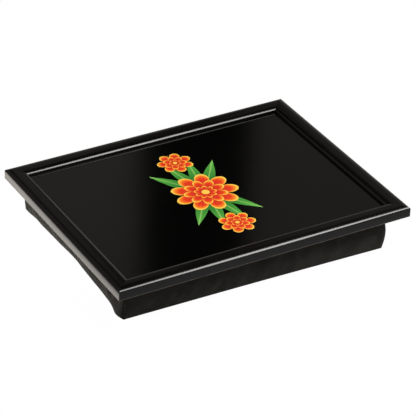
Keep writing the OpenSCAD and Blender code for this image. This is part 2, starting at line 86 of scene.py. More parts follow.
class Shader:
    """The nodes of one material, with a short call for each kind that is used here."""

    def __init__(self, name):
        self.material = bpy.data.materials.new(name)
        self.material.use_nodes = True
        self.tree = self.material.node_tree
        self.tree.nodes.clear()

    def node(self, kind, **settings):
        made = self.tree.nodes.new(kind)
        for key, value in settings.items():
            setattr(made, key, value)
        return made

    def put(self, value, socket):
        if isinstance(value, bpy.types.NodeSocket):
            self.tree.links.new(value, socket)
        else:
            socket.default_value = value

    def math(self, operation, *values):
        made = self.node("ShaderNodeMath", operation=operation)
        for value, socket in zip(values, made.inputs):
            self.put(value, socket)
        return made.outputs[0]

    def add(self, a, b):
        return self.math("ADD", a, b)

    def times(self, a, b):
        return self.math("MULTIPLY", a, b)

    def less(self, a, b):
        return self.math("SUBTRACT", a, b)

    def step(self, value, low, high):
        """0 at low, 1 at high, with a smooth rise between them."""
        made = self.node("ShaderNodeMapRange", interpolation_type="SMOOTHSTEP")
        for v, name in ((value, "Value"), (low, "From Min"), (high, "From Max")):
            self.put(v, made.inputs[name])
        return made.outputs["Result"]

    def place(self, scale=1000.0):
        """X, Y and Z in the piece's own frame: in millimetres, or in metres with a scale of 1."""
        coordinates = self.node("ShaderNodeTexCoord").outputs["Object"]
        made = self.node("ShaderNodeVectorMath", operation="SCALE")
        self.put(coordinates, made.inputs[0])
        made.inputs["Scale"].default_value = scale
        parts = self.node("ShaderNodeSeparateXYZ")
        self.put(made.outputs[0], parts.inputs[0])
        return parts.outputs

    def vector(self, x, y, z=0.0):
        made = self.node("ShaderNodeCombineXYZ")
        for value, socket in zip((x, y, z), made.inputs):
            self.put(value, socket)
        return made.outputs[0]

    def stretched(self, values, scales):
        """A vector of two or three values, each times its own scale."""
        return self.vector(*(self.times(value, scale) for value, scale in zip(values, scales)))

    def noise(self, vector, scale, detail=2.0):
        made = self.node("ShaderNodeTexNoise")
        self.put(vector, made.inputs["Vector"])
        made.inputs["Scale"].default_value = scale
        made.inputs["Detail"].default_value = detail
        return made.outputs["Fac"]

    def blend(self, share, a, b):
        """Colour a, turning into colour b as share goes from 0 to 1."""
        made = self.node("ShaderNodeMix", data_type="RGBA")
        self.put(share, made.inputs[0])
        self.put(a, made.inputs[6])
        self.put(b, made.inputs[7])
        return made.outputs[2]

    def bump(self, height_mm):
        made = self.node("ShaderNodeBump")
        made.inputs["Distance"].default_value = MM
        made.inputs["Strength"].default_value = 1.0
        self.put(height_mm, made.inputs["Height"])
        return made.outputs[0]

    def finish(self, colour, roughness, normal, **constants):
        """The material, with these inputs; a constant has its socket's name, with _ for a space."""
        shader = self.node("ShaderNodeBsdfPrincipled")
        self.put(colour, shader.inputs["Base Color"])
        self.put(roughness, shader.inputs["Roughness"])
        self.put(normal, shader.inputs["Normal"])
        for name, value in constants.items():
            shader.inputs[name.replace("_", " ")].default_value = value
        self.output(shader.outputs[0])
        return self.material

    def output(self, surface):
        self.put(surface, self.node("ShaderNodeOutputMaterial").inputs["Surface"])


def grey(level):
    return (level, level, level, 1.0)


def rgb(red, green, blue):
    return (red, green, blue, 1.0)


# Materials

# Heights in millimetres at which the painted reflection along the rail's foot starts, and is full
GLINT_TOP, GLINT_FULL = 45.9, 44.7


def lacquer(name, along):
    """Black lacquer over a wooden moulding along X (0) or Y (1), with a painted reflection at its foot."""
    s = Shader(name)
    place = s.place()
    grain = s.noise(s.stretched((place[along], place[1 - along], place[2]), (0.012, 0.9, 0.9)), 1.0, 4.0)
    peel = s.noise(s.vector(*place), 0.35, 2.0)
    cloud = s.noise(s.vector(*place), 0.03, 3.0)
    colour = s.blend(cloud, rgb(0.0014, 0.0013, 0.0013), rgb(0.0034, 0.0028, 0.0025))
    # Painted reflection: a patchy light brown band along the foot stands in for the light its lower arris
    # mirrors
    wear_and_glint = s.times(s.step(place[2], GLINT_TOP, GLINT_FULL), s.step(cloud, 0.2, 0.5))
    colour = s.blend(wear_and_glint, colour, rgb(0.15, 0.125, 0.1))
    roughness = s.add(s.add(0.15, s.times(cloud, 0.08)), s.times(wear_and_glint, 0.2))
    height = s.add(s.times(grain, 0.01), s.times(peel, 0.01))
    return s.finish(colour, roughness, s.bump(height), IOR=1.48, Specular_IOR_Level=0.36)


# The print, in millimetres and radians
FLOWER_R, FLOWER_PETALS = 46, 9
BUD_R, BUD_PETALS, BUD_AWAY = 25, 7, 84
# Each layer's share of its flower's radius, and 1 where it is turned by half a petal
LAYERS = ((1.0, 0), (0.66, 1), (0.34, 0))
PETAL_DEPTH, PETAL_ROUNDNESS = 0.45, 0.55
RIBS_PER_PETAL = 5
HEART_SHARE = 0.12
LEAF_L, LEAF_W = 84, 17
LEAF_TURNS = (-0.62, -0.2, 0.2, 0.62)
RED, DEEP_RED = rgb(0.78, 0.035, 0.02), rgb(0.42, 0.008, 0.012)
ORANGE, YELLOW = rgb(0.95, 0.22, 0.02), rgb(1.0, 0.62, 0.09)


def distance_from_middle(s, x, y):
    return s.math("SQRT", s.add(s.times(x, x), s.times(y, y)))


def petals_at(s, x, y, radius, petals, turn):
    """The share of the way from the middle to the petals' edge, how near a petal's middle, and the ribs."""
    angle = s.add(s.math("ARCTAN2", y, x), turn)
    lobe = s.math("ABSOLUTE", s.math("COSINE", s.times(angle, petals / 2)))
    rounded = s.math("POWER", lobe, PETAL_ROUNDNESS)
    edge = s.times(s.add(1 - PETAL_DEPTH, s.times(rounded, PETAL_DEPTH)), radius)
    ribs = s.math("COSINE", s.times(angle, petals * RIBS_PER_PETAL))
    return s.math("DIVIDE", distance_from_middle(s, x, y), edge), lobe, ribs


def painted_flower(s, below, x, y, radius, petals, turn):
    """A flower of three layers of red petals with yellow rims, over the colour below."""
    for size, half_turns in LAYERS:
        spin = turn + half_turns * math.pi / petals
        out, lobe, ribs = petals_at(s, x, y, radius * size, petals, spin)
        body = s.blend(s.step(out, 0.15, 0.8), DEEP_RED, RED)
        body = s.blend(s.times(s.step(ribs, 0.6, 1.0), 0.35), body, ORANGE)
        body = s.blend(s.step(out, 0.74, 0.9), body, ORANGE)
        body = s.blend(s.step(out, 0.88, 0.96), body, YELLOW)
        body = s.blend(s.times(s.step(lobe, 0.35, 0.0), 0.6), body, DEEP_RED)
        below = s.blend(s.step(out, 1.01, 0.99), below, body)
    heart = distance_from_middle(s, x, y)
    rim = (radius * (HEART_SHARE + 0.01), radius * (HEART_SHARE - 0.01))
    return s.blend(s.step(heart, *rim), below, YELLOW)


def painted_leaf(s, below, x, y, turn):
    """A pointed green leaf from the middle outwards, over the colour below."""
    along = s.add(s.times(x, math.cos(turn)), s.times(y, math.sin(turn)))
    across = s.math("ABSOLUTE", s.less(s.times(y, math.cos(turn)), s.times(x, math.sin(turn))))
    share = s.math("DIVIDE", along, LEAF_L)
    belly = s.times(s.math("SINE", s.times(share, math.pi)), s.less(1.25, s.times(share, 0.5)))
    half = s.times(belly, LEAF_W / 2)
    inside = s.times(s.step(s.less(half, across), -0.2, 0.2), s.step(share, 0.0, 0.02))
    inside = s.times(inside, s.step(share, 1.0, 0.98))
    vein = s.step(s.math("ABSOLUTE", s.less(across, s.times(share, 0.6))), 0.9, 0.3)
    green = s.blend(s.step(share, 0.2, 1.0), rgb(0.02, 0.16, 0.03), rgb(0.1, 0.42, 0.06))
    green = s.blend(s.times(vein, 0.7), green, rgb(0.3, 0.62, 0.16))
    return s.blend(inside, below, green)


def laminate():
    """Black gloss laminate with a printed spray of three flowers."""
    s = Shader("laminate_print")
    x, y = s.place()[:2]
    cloud = s.noise(s.vector(x, y), 0.02, 2.0)
    colour = s.blend(cloud, grey(0.0009), grey(0.0015))
    for end in (-1, 1):
        for turn in LEAF_TURNS:
            colour = painted_leaf(s, colour, x, y, end * math.pi / 2 + turn)
    for end in (-1, 1):
        bud_y = s.less(y, end * BUD_AWAY)
        colour = painted_flower(s, colour, x, bud_y, BUD_R, BUD_PETALS, end * math.pi / 2)
    colour = painted_flower(s, colour, x, y, FLOWER_R, FLOWER_PETALS, math.pi / 2)
    wave = s.noise(s.vector(x, y), 0.05, 1.0)
    roughness = s.add(0.075, s.times(s.noise(s.vector(x, y), 0.012, 3.0), 0.04))
    return s.finish(colour, roughness, s.bump(s.times(wave, 0.02)), IOR=1.5)


# Weaves, in millimetres
TWILL_PITCH = 0.9
RIB_PITCHES = (0.8, 0.6)
LINER_PITCH = 0.5


def fabric(name, u, v):
    """Charcoal twill whose threads run along the axes u and v."""
    s = Shader(name)
    place = s.place()
    a, b = place[u], place[v]
    whole = s.vector(*place)
    rate = 2 * math.pi / TWILL_PITCH
    twill = s.math("SINE", s.times(s.add(a, b), rate * 0.7))
    threads = s.math("SINE", s.times(a, rate * 1.9))
    weft = s.math("SINE", s.times(b, rate * 1.9))
    slub = s.noise(s.stretched((a, b), (2.2, 0.12)), 1.0, 3.0)
    slub_across = s.noise(s.stretched((a, b), (0.12, 2.2)), 1.0, 3.0)
    mottle = s.noise(whole, 0.035, 4.0)
    fuzz = s.noise(whole, 1.6, 3.0)
    tone = s.add(s.times(mottle, 0.5), s.add(s.times(slub, 0.25), s.times(slub_across, 0.25)))
    tone = s.add(tone, s.times(s.less(fuzz, 0.5), 0.35))
    colour = s.blend(s.step(tone, 0.25, 0.75), rgb(0.016, 0.0154, 0.0126), rgb(0.0386, 0.0372, 0.031))
    height = s.add(s.times(twill, 0.035), s.add(s.times(threads, 0.015), s.times(weft, 0.015)))
    height = s.add(height, s.add(s.times(slub, 0.07), s.times(slub_across, 0.07)))
    height = s.add(height, s.times(fuzz, 0.06))
    constants = {"Sheen_Weight": 0.12, "Sheen_Roughness": 0.5, "Specular_IOR_Level": 0.25}
    return s.finish(colour, 0.9, s.bump(height), **constants)


def fibreboard(name, dark, light):
    s = Shader(name)
    place = s.place()
    fibres = s.noise(s.stretched(place, (0.6, 1.6, 1.6)), 1.0, 5.0)
    blotch = s.noise(s.vector(*place), 0.04, 3.0)
    tone = s.add(s.times(fibres, 0.7), s.times(blotch, 0.3))
    return s.finish(s.blend(s.step(tone, 0.3, 0.7), dark, light), 0.8, s.bump(s.times(fibres, 0.08)))


def metal(name, dark, light, roughness, metallic):
    """Metal, bare or painted, with faint brush lines along X."""
    s = Shader(name)
    place = s.place()
    brushed = s.noise(s.stretched(place, (0.4, 4.0, 4.0)), 1.0, 4.0)
    wear_and_glint = s.noise(s.vector(*place), 0.5, 4.0)
    colour = s.blend(s.step(wear_and_glint, 0.35, 0.7), dark, light)
    rough = s.add(roughness, s.times(brushed, 0.15))
    return s.finish(colour, rough, s.bump(s.times(brushed, 0.01)), Metallic=metallic)


def tape(name, u, v, pile):
    """Woven tape with ribs along both axes u and v; pile is the height in millimetres of its fuzzy loops."""
    s = Shader(name)
    place = s.place()
    ribs = s.math("SINE", s.times(place[u], 2 * math.pi / RIB_PITCHES[0]))
    across = s.math("SINE", s.times(place[v], 2 * math.pi / RIB_PITCHES[1]))
    fuzz = s.noise(s.vector(*place), 1.4, 5.0)
    colour = s.blend(s.step(fuzz, 0.3, 0.7), grey(0.007), grey(0.026))
    height = s.add(s.times(s.add(ribs, across), 0.04), s.times(fuzz, pile))
    return s.finish(colour, 0.85, s.bump(height), Sheen_Weight=0.2)


def nylon(name):
    s = Shader(name)
    cloud = s.noise(s.vector(*s.place()), 0.8, 3.0)
    colour = s.blend(cloud, grey(0.006), grey(0.014))
    return s.finish(colour, s.add(0.3, s.times(cloud, 0.15)), s.bump(s.times(cloud, 0.02)), IOR=1.53)


def liner():
    """Off-white liner cloth over polystyrene beads, with painted shade in the hollows between them."""
    s = Shader("bag_liner")
    place = s.place()
    beads = s.node("ShaderNodeTexVoronoi", feature="SMOOTH_F1")
    s.put(s.vector(*place), beads.inputs["Vector"])
    beads.inputs["Scale"].default_value = 0.3
    distance = beads.outputs["Distance"]
    weave = s.math("SINE", s.times(s.add(place[0], place[1]), 2 * math.pi / LINER_PITCH))
    # Painted shade: the cloth is darker away from each bead's middle, in the hollows between the beads
    colour = s.blend(s.step(distance, 0.2, 0.9), rgb(0.74, 0.72, 0.66), rgb(0.58, 0.56, 0.5))
    height = s.add(s.times(distance, -0.5), s.times(weave, 0.03))
    return s.finish(colour, 0.85, s.bump(height), Sheen_Weight=0.1)


# Mesh helpers


def mix(a, b, share):
    return a + (b - a) * share


def mesh_object(name, points, faces, material, sharp=30):
    """A mesh piece with smooth faces, and sharp edges where they turn by more than the angle in degrees."""
    mesh = bpy.data.meshes.new(name)
    mesh.from_pydata([tuple(float(c) for c in p) for p in points], [], faces)
    mesh.polygons.foreach_set("use_smooth", [True] * len(mesh.polygons))
    mesh.set_sharp_from_angle(angle=math.radians(sharp))
    mesh.materials.append(material)
    made = bpy.data.objects.new(name, mesh)
    bpy.context.collection.objects.link(made)
    return made


def sleeve(first, rings, sides, turned=False):
    """Faces round a row of rings that have this many points each; turned gives them the other side out."""
    faces = []
    for r in range(rings - 1):
        row, above = first + r * sides, first + (r + 1) * sides
        for i in range(sides):
            j = (i + 1) % sides
            if turned:
                faces.append([row + i, above + i, above + j, row + j])
            else:
                faces.append([row + i, row + j, above + j, above + i])
    return faces


def number_grid(width, height):
    """The numbers of points that were made row by row."""
    return [[r * width + c for c in range(width)] for r in range(height)]


def grid_faces(grid):
    return [
        [grid[r][c], grid[r][c + 1], grid[r + 1][c + 1], grid[r + 1][c]]
        for r in range(len(grid) - 1)
        for c in range(len(grid[0]) - 1)
    ]


def clean(made, distance):
    """Merges points that lie together, drops empty faces and turns all the faces outwards."""
    work = bmesh.new()
    work.from_mesh(made.data)
    bmesh.ops.remove_doubles(work, verts=work.verts, dist=distance)
    bmesh.ops.dissolve_degenerate(work, edges=work.edges, dist=distance)
    bmesh.ops.recalc_face_normals(work, faces=work.faces)
    work.to_mesh(made.data)
    work.free()


def bevel(made, width):
    modifier = made.modifiers.new("bevel", "BEVEL")
    modifier.width = width
    modifier.segments = 2
    modifier.limit_method = "ANGLE"
    modifier.angle_limit = math.radians(35)
    modifier.harden_normals = True


def rounded(made):
    """One level of smoothing; the modifier is returned for its other settings."""
    smooth = made.modifiers.new("smooth", "SUBSURF")
    smooth.levels = smooth.render_levels = 1
    return smooth


def thickened(made, thickness):
    """Gives a sheet its thickness, inwards from the face that is seen."""
    shell = made.modifiers.new("shell", "SOLIDIFY")
    shell.thickness = thickness
    shell.offset = -1


def dressed(made, body, slot, *nodes):
    """The piece rides on the body, and may stand for CAD nodes, which it hides. The slot is not used."""
    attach(made, body)
    if nodes:
        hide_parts(*nodes)


# Frame rails

# The face leans in (LEAN) below a wide outer shoulder, the crest falls to a round inner shoulder with an
# upright nose under it, and the foot has a small arris. The rail reaches a little further over the board
# than its solid does (OVERLAP).
OUTER_SHOULDER_W = 9.25 * MM
OUTER_SHOULDER_H = 2.95 * MM
LEAN_W = 0.25 * MM
LEAN_H = 1.6 * MM
CREST_DROP = 0.3 * MM
INNER_SHOULDER_W = 8 * MM
NOSE_H = 2.1 * MM
ARRIS = 0.9 * MM
CORNER = 0.7 * MM
REBATE_W = 6.6 * MM
OVERLAP = 0.6 * MM
SHOULDER_STEPS = 20
ARRIS_STEPS = 6
CORNER_STEPS = 4
RAIL_MERGE = 0.002 * MM
RAIL_BEVEL = 0.18 * MM
RAIL_SHARP = 9


def quarter(steps):
    """Angles from 0 to a right angle."""
    return [math.pi / 2 * i / steps for i in range(steps + 1)]


def outer_shoulder(height):
    """The face's upper part: it leans in, and goes on at the same angle as an oval up to the crest."""
    lean = LEAN_W / LEAN_H * OUTER_SHOULDER_H / OUTER_SHOULDER_W
    sine = lean / (1 - lean)
    tall = OUTER_SHOULDER_H / (1 - sine)
    wide = OUTER_SHOULDER_W / math.sqrt(1 - sine**2)
    first = math.asin(sine)
    points = [(0.0, height - OUTER_SHOULDER_H - LEAN_H)]
    for i in range(SHOULDER_STEPS + 1):
        t = mix(first, math.pi / 2, i / SHOULDER_STEPS)
        points.append((
            LEAN_W + wide * (math.cos(first) - math.cos(t)),
            height - tall * (1 - math.sin(t)),
        ))
    return points


def rail_section(width, height, rebate):
    """The moulding's section: X inwards from the outer face, Y up from the underside."""
    crest = height - CREST_DROP
    inner_h = crest - rebate - NOSE_H
    inner = [
        (width - INNER_SHOULDER_W * (1 - math.sin(t)), crest - inner_h * (1 - math.cos(t)))
        for t in quarter(SHOULDER_STEPS)
    ]
    lip = [(width, rebate), (width - REBATE_W, rebate), (width - REBATE_W, 0.0)]
    arris = [(ARRIS * (1 - math.sin(t)), ARRIS * (1 - math.cos(t))) for t in quarter(ARRIS_STEPS)]
    return outer_shoulder(height) + inner + lip + arris


def corner_inset(along):
    """How far the rounded corner lies inside the outer face, this far along it from the corner."""
    if along >= CORNER:
        return 0.0
    return CORNER - math.sqrt(CORNER**2 - (CORNER - along) ** 2)


def rail_mesh(section, length, depth, bottom):
    """Points and faces of the mitred front rail of a frame with this length and depth."""
    nearest = CORNER * (1 - math.sqrt(0.5))
    steps = [nearest + (CORNER - nearest) * i / CORNER_STEPS for i in range(CORNER_STEPS + 1)]
    columns = [(s, -1) for s in steps] + [(s, 1) for s in reversed(steps)]
    points = []
    for along, end in columns:
        for x, y in section:
            inward = max(x, corner_inset(along)) if x < CORNER else x
            reach = length / 2 - max(along, inward)
            points.append((end * reach, inward - depth / 2, bottom + y))
    count = len(section)
    ends = [list(range(count)), list(reversed(range(len(points) - count, len(points))))]
    return points, ends + sleeve(0, len(columns), count, turned=True)


def make_rails():
    low, high = (Vector(corner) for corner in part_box("frame_rail_front"))
    size = (
        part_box("frame_rail_right")[1][0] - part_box("frame_rail_left")[0][0],
        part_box("frame_rail_back")[1][1] - low.y,
    )
    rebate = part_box("laminate_sheet")[1][2] - low.z
    section = rail_section(high.y - low.y + OVERLAP, high.z - low.z, rebate)
    materials = [lacquer("lacquer_long", 0), lacquer("lacquer_short", 1)]
    for i, side in enumerate(SIDES):
        points, faces = rail_mesh(section, size[i % 2], size[1 - i % 2], low.z)
        turn = Matrix.Rotation(math.pi / 2 * i, 4, "Z")
        made = mesh_object(f"rail_{side}", [turn @ Vector(p) for p in points], faces, materials[i % 2])
        clean(made, RAIL_MERGE)
        made.data.set_sharp_from_angle(angle=math.radians(RAIL_SHARP))
        bevel(made, RAIL_BEVEL)
        dressed(made, "tray", "frame_lacquer", f"frame_rail_{side}")


# Cushion form, in millimetres until its points are placed

# Four values are for the front, right, back and left: how far a wall bulges at half its height, how far
# its foot is drawn in between the corners, and how far it lifts off the ground there.
CUSHION_H = 42.2
TOP_W, TOP_D, TOP_X, TOP_Y = 382.0, 288.0, -4.0, 0.0
BASE_CORNERS = ((-199.0, -146.7), (179.4, -156.0), (186.0, 138.7), (-194.2, 145.6))
TOP_CROWN = 1.5
STAND_CUT = 0.5
BULGES = (1.0, 5.0, 3.0, 0.5)
DRAWS = (0.8, 4.5, 2.5, 4.4)
DRAW_SHAPE = 1.5
LIFTS = (0.6, 2.5, 1.5, 1.8)
FABRIC_T = 0.8
ZIP_Z, ZIP_REACH = 21.0, 10.0
ZIP_FACE_Y = TOP_Y + TOP_D / 2 + BULGES[BACK]
RISE_SHARE = 0.25
CROWN_RIM = 30.0


def hump(share):
    """0 at both ends and 1 halfway."""
    return 4 * share * (1 - share)


def top_corner(i):
    return np.array([TOP_X + CORNER_SIGNS[i][0] * TOP_W / 2, TOP_Y + CORNER_SIGNS[i][1] * TOP_D / 2])


def past_zip(z):
    """0 over the flat part of the back wall beside the zip, and 1 at the wall's two seams."""
    low, high = ZIP_Z - ZIP_REACH, ZIP_Z + ZIP_REACH
    if z < low:
        return (low - z) / low
    return max(0.0, (z - high) / (CUSHION_H - high))


def column(i, z):
    """X and Y of the cushion's upright corner i at a height."""
    share = z / CUSHION_H
    sx, sy = CORNER_SIGNS[i]
    low, high = np.array(BASE_CORNERS[i]), top_corner(i)
    x = mix(low[0], high[0], share) + sx * hump(share) * BULGES[RIGHT if sx > 0 else LEFT]
    if sy > 0:
        edge = low[1] if z < ZIP_Z else high[1]
        return np.array([x, mix(ZIP_FACE_Y, edge, past_zip(z) ** 2)])
    return np.array([x, mix(low[1], high[1], share) - hump(share) * BULGES[FRONT]])


def draw_weight(i, z):
    """How much of its draw a wall has at a height: all at the foot, none at the top."""
    if i == BACK:
        return past_zip(z) ** 2 if z < ZIP_Z else 0.0
    return (1 - z / CUSHION_H) ** 2


def side_point(i, share, z):
    """X and Y of a wall at a share of its length and a height; its foot is drawn in between the corners."""
    along = mix(column(i, z), column((i + 1) % 4, z), share)
    drawn = DRAWS[i] * draw_weight(i, z) * hump(share) ** DRAW_SHAPE
    return along - np.array(OUTWARD[i]) * drawn


def seam_z(i, share):
    """The base seam lifts off the ground between the corners, which stand on it."""
    return max(0.0, LIFTS[i] * hump(share) - STAND_CUT)


def panel_point(u, v, at_top):
    """X and Y inside the outline of the top or the base, at shares u along X and v along Y."""

    def edge(i, share):
        return side_point(i, share, CUSHION_H if at_top else seam_z(i, share))

    corners = [column(i, CUSHION_H if at_top else 0.0) for i in range(4)]
    return (
        mix(edge(FRONT, u), edge(BACK, 1 - u), v)
        + mix(edge(LEFT, 1 - v), edge(RIGHT, v), u)
        - mix(mix(corners[0], corners[1], u), mix(corners[3], corners[2], u), v)
    )


def base_z(u, v):
    """The base panel's height, which rises to its lifted seams."""

    def near(share):
        return max(0.0, 1 - share / RISE_SHARE) ** 2

    rise = hump(u) * (LIFTS[FRONT] * near(v) + LIFTS[BACK] * near(1 - v))
    rise += hump(v) * (LIFTS[LEFT] * near(u) + LIFTS[RIGHT] * near(1 - u))
    return max(0.0, rise - STAND_CUT)


def crown_z(u, v):
    """How far the filling lifts the top panel above its flat rim."""

    def inside(share, length):
        rim = CROWN_RIM / length
        return hump(min(1.0, max(0.0, (share - rim) / (1 - 2 * rim))))

    return TOP_CROWN * inside(u, TOP_W) * inside(v, TOP_D)


class Cushion:
    """The cover as one closed grid: a base, walls in rows and a top that share their seams' points."""

    across = 64
    deep = 48
    rows = (0.0, 6.0, 11.5, 17.0, 21.0, 25.0, 31.0, 36.5, CUSHION_H)
    slot_low = 3
    slot_high = 5

    def __init__(self):
        self.ring = 2 * (self.across + self.deep)
        self.points = []
        for r, z in enumerate(self.rows):
            for k in range(self.ring):
                self.points.append(self.wall_point(r, k, z))
        inner = (self.across - 1) * (self.deep - 1)
        self.base_start = len(self.points)
        self.top_start = self.base_start + inner
        for at_top in (False, True):
            for j in range(1, self.deep):
                for i in range(1, self.across):
                    u, v = i / self.across, j / self.deep
                    x, y = panel_point(u, v, at_top)
                    self.points.append((x, y, CUSHION_H + crown_z(u, v) if at_top else base_z(u, v)))
        self.points = np.array(self.points) * MM

    def side_start(self, side):
        """The ring's point at the side's first corner."""
        return (0, self.across, self.across + self.deep, 2 * self.across + self.deep)[side]

    def side_count(self, side):
        return self.across if side % 2 == 0 else self.deep

    def side_share(self, k):
        """The side of a ring's point, and its share of the way along it."""
        side = max(i for i in range(4) if self.side_start(i) <= k)
        return side, (k - self.side_start(side)) / self.side_count(side)

    def wall_point(self, r, k, z):
        side, share = self.side_share(k)
        if r == 0:
            z = seam_z(side, share)
        x, y = side_point(side, share, z)
        return (x, y, z)

    def wall(self, r, k):
        """The number of the point in row r of the walls, k points along the ring."""
        return r * self.ring + k % self.ring

    def border(self, i, j):
        """The ring's point at a panel's border, or None inside it."""
        if j == 0:
            return i
        if i == self.across:
            return self.across + j
        if j == self.deep:
            return 2 * self.across + self.deep - i
        if i == 0:
            return 2 * self.across + 2 * self.deep - j
        return None

    def panel(self, i, j, at_top):
        """The number of a panel's point, i along X and j along Y."""
        k = self.border(i, j)
        if k is not None:
            return self.wall(len(self.rows) - 1 if at_top else 0, k)
        return (self.top_start if at_top else self.base_start) + (j - 1) * (self.across - 1) + i - 1

    def panel_grid(self, at_top):
        return [[self.panel(i, j, at_top) for i in range(self.across + 1)] for j in range(self.deep + 1)]

    def wall_grid(self, side, first, last):
        start, count = self.side_start(side), self.side_count(side)
        return [[self.wall(r, start + k) for k in range(count + 1)] for r in range(first, last + 1)]

    def slot_grid(self):
        """The part of the back wall that the zip and its tabs fill."""
        return self.wall_grid(BACK, self.slot_low, self.slot_high)

    def grids(self):
        """Every part of the cover as a grid of point numbers that runs anticlockwise from outside."""
        top_row = len(self.rows) - 1
        return {
            "cover_top": self.panel_grid(True),
            "cover_base": [list(reversed(row)) for row in self.panel_grid(False)],
            "cover_front": self.wall_grid(FRONT, 0, top_row),
            "cover_right": self.wall_grid(RIGHT, 0, top_row),
            "cover_left": self.wall_grid(LEFT, 0, top_row),
            "cover_back_upper": self.wall_grid(BACK, self.slot_high, top_row),
            "cover_back_lower": self.wall_grid(BACK, 0, self.slot_low),
            "slot": self.slot_grid(),
        }

    def faces(self):
        return [face for grid in self.grids().values() for face in grid_faces(grid)]


def grid_object(name, grid, points, material):
    """One part of the cover as a mesh of its own."""
    flat = [k for row in grid for k in row]
    faces = grid_faces(number_grid(len(grid[0]), len(grid)))
    return mesh_object(name, points[flat], faces, material, sharp=80)


# Place along the left wall from the back, slant, width and depth in millimetres of each fold
FOLDS = (
    (0.06, 0.05, 0.02, 2.4),
    (0.13, 0.09, 0.022, -2.0),
    (0.25, 0.1, 0.025, 1.0),
    (0.36, 0.06, 0.03, -1.4),
    (0.5, -0.04, 0.035, 1.2),
    (0.6, -0.08, 0.03, -1.4),
    (0.72, -0.08, 0.03, 1.3),
    (0.87, -0.06, 0.03, -3.0),
)
# Place, width and depth in millimetres of each dip along the left wall's foot; the last one swells
DIPS = ((0.1, 0.04, 1.5), (0.47, 0.08, 1.3), (0.945, 0.045, -4.2))
CLOTH_FRAMES = 20
CLOTH_CAP = 3.2 * MM


def crease(form):
    """Presses slanting folds and dips into the left wall, where the cover is gathered."""
    for k in range(form.side_start(LEFT), form.ring):
        share = form.side_share(k)[1]
        for r in range(len(form.rows) - 1):
            p = form.points[form.wall(r, k)]
            high = p[2] / (CUSHION_H * MM)
            for at, wide, depth in DIPS:
                p[0] += depth * MM * math.exp(-(((share - at) / wide) ** 2)) * (1 - high) ** 2
            fold = 0.0
            for at, slant, wide, depth in FOLDS:
                away = (share - at - slant * (high - 0.5)) / wide
                fold += depth * math.exp(-away * away)
            p[0] += fold * MM * hump(high)


def puff(form):
    """Lets the cover swell as cloth over its filling, held at its seams, its top and its zip."""
    made = mesh_object("cloth", form.points, form.faces(), None)
    held = made.vertex_groups.new(name="held")
    kept = {k for grid in (form.panel_grid(True), form.slot_grid()) for row in grid for k in row}
    held.add(sorted(kept | set(seam_points(form))), 1.0, "REPLACE")
    cloth = made.modifiers.new("cloth", "CLOTH")
    settings = cloth.settings
    settings.quality = 6
    settings.mass = 0.25
    settings.tension_stiffness = 12
    settings.compression_stiffness = 12
    settings.shear_stiffness = 4
    settings.bending_stiffness = 0.35
    settings.vertex_group_mass = "held"
    settings.use_pressure = True
    settings.uniform_pressure_force = 4
    settings.shrink_min = -0.03
    settings.effector_weights.gravity = 0
    cloth.collision_settings.use_collision = False
    cloth.point_cache.frame_start = 1
    cloth.point_cache.frame_end = CLOTH_FRAMES
    scene = bpy.context.scene
    for step in range(1, CLOTH_FRAMES + 1):
        scene.frame_set(step)
    shown = made.evaluated_get(bpy.context.evaluated_depsgraph_get())
    moved = np.array([tuple(v.co) for v in shown.data.vertices]) - form.points
    scene.frame_set(1)
    bpy.data.objects.remove(made)
    far = np.linalg.norm(moved, axis=1, keepdims=True)
    moved *= np.minimum(1.0, CLOTH_CAP / np.maximum(far, 1e-9))
    form.points = form.points + moved
    form.points[:, 2] = np.maximum(form.points[:, 2], 0.0)


def seam_points(form):
    """The numbers of the points along the sewn seams."""
    top_row = len(form.rows) - 1
    corners = [form.side_start(side) for side in range(4)]
    seams = {form.wall(0, k) for k in range(form.ring)}
    seams |= {form.wall(top_row, k) for k in range(form.ring)}
    return sorted(seams | {form.wall(r, k) for r in range(top_row + 1) for k in corners})


def normals(form):
    """The outward direction at every point of the cover."""
    made = mesh_object("cover_form", form.points, form.faces(), None)
    found = np.array([tuple(v.normal) for v in made.data.vertices])
    bpy.data.objects.remove(made)
    return found


def pinch(form, depth):
    """Draws the seams in a little, as sewing does."""
    seams = seam_points(form)
    form.points[seams] -= normals(form)[seams] * depth
    form.points[:, 2] = np.maximum(form.points[:, 2], 0.0)


def wall_spot(form, side, share, z):
    """The point of a wall at a share of its length and a height, with the wall's outward direction there."""
    start, count = form.side_start(side), form.side_count(side)
    k = min(int(share * count), count - 1)
    rest = share * count - k
    columns = []
    for c in (start + k, start + k + 1):
        points = form.points[[form.wall(r, c) for r in range(len(form.rows))]]
        r = max(1, min(len(points) - 1, int(np.searchsorted(points[:, 2], z))))
        low, high = points[r - 1], points[r]
        columns.append((mix(low, high, (z - low[2]) / (high[2] - low[2])), high - low))
    spot = mix(columns[0][0], columns[1][0], rest)
    along = columns[1][0] - columns[0][0]
    out = np.cross(along, columns[0][1])
    return spot, out / np.linalg.norm(out)


STITCH = 2.6 * MM
STITCH_PITCH = 3.3 * MM
STITCH_ROWS = (("stitches_upper", 28.0 * MM), ("stitches_lower", 14.0 * MM))
STITCH_ROW_L = 370 * MM
# Shares of the wall's length: where a row of stitches starts, and how far it runs
STITCH_FIRST, STITCH_SPAN = 0.02, 0.96
THREAD_R = 0.22 * MM
THREAD_SIDES = 6
THREAD_END = 0.45


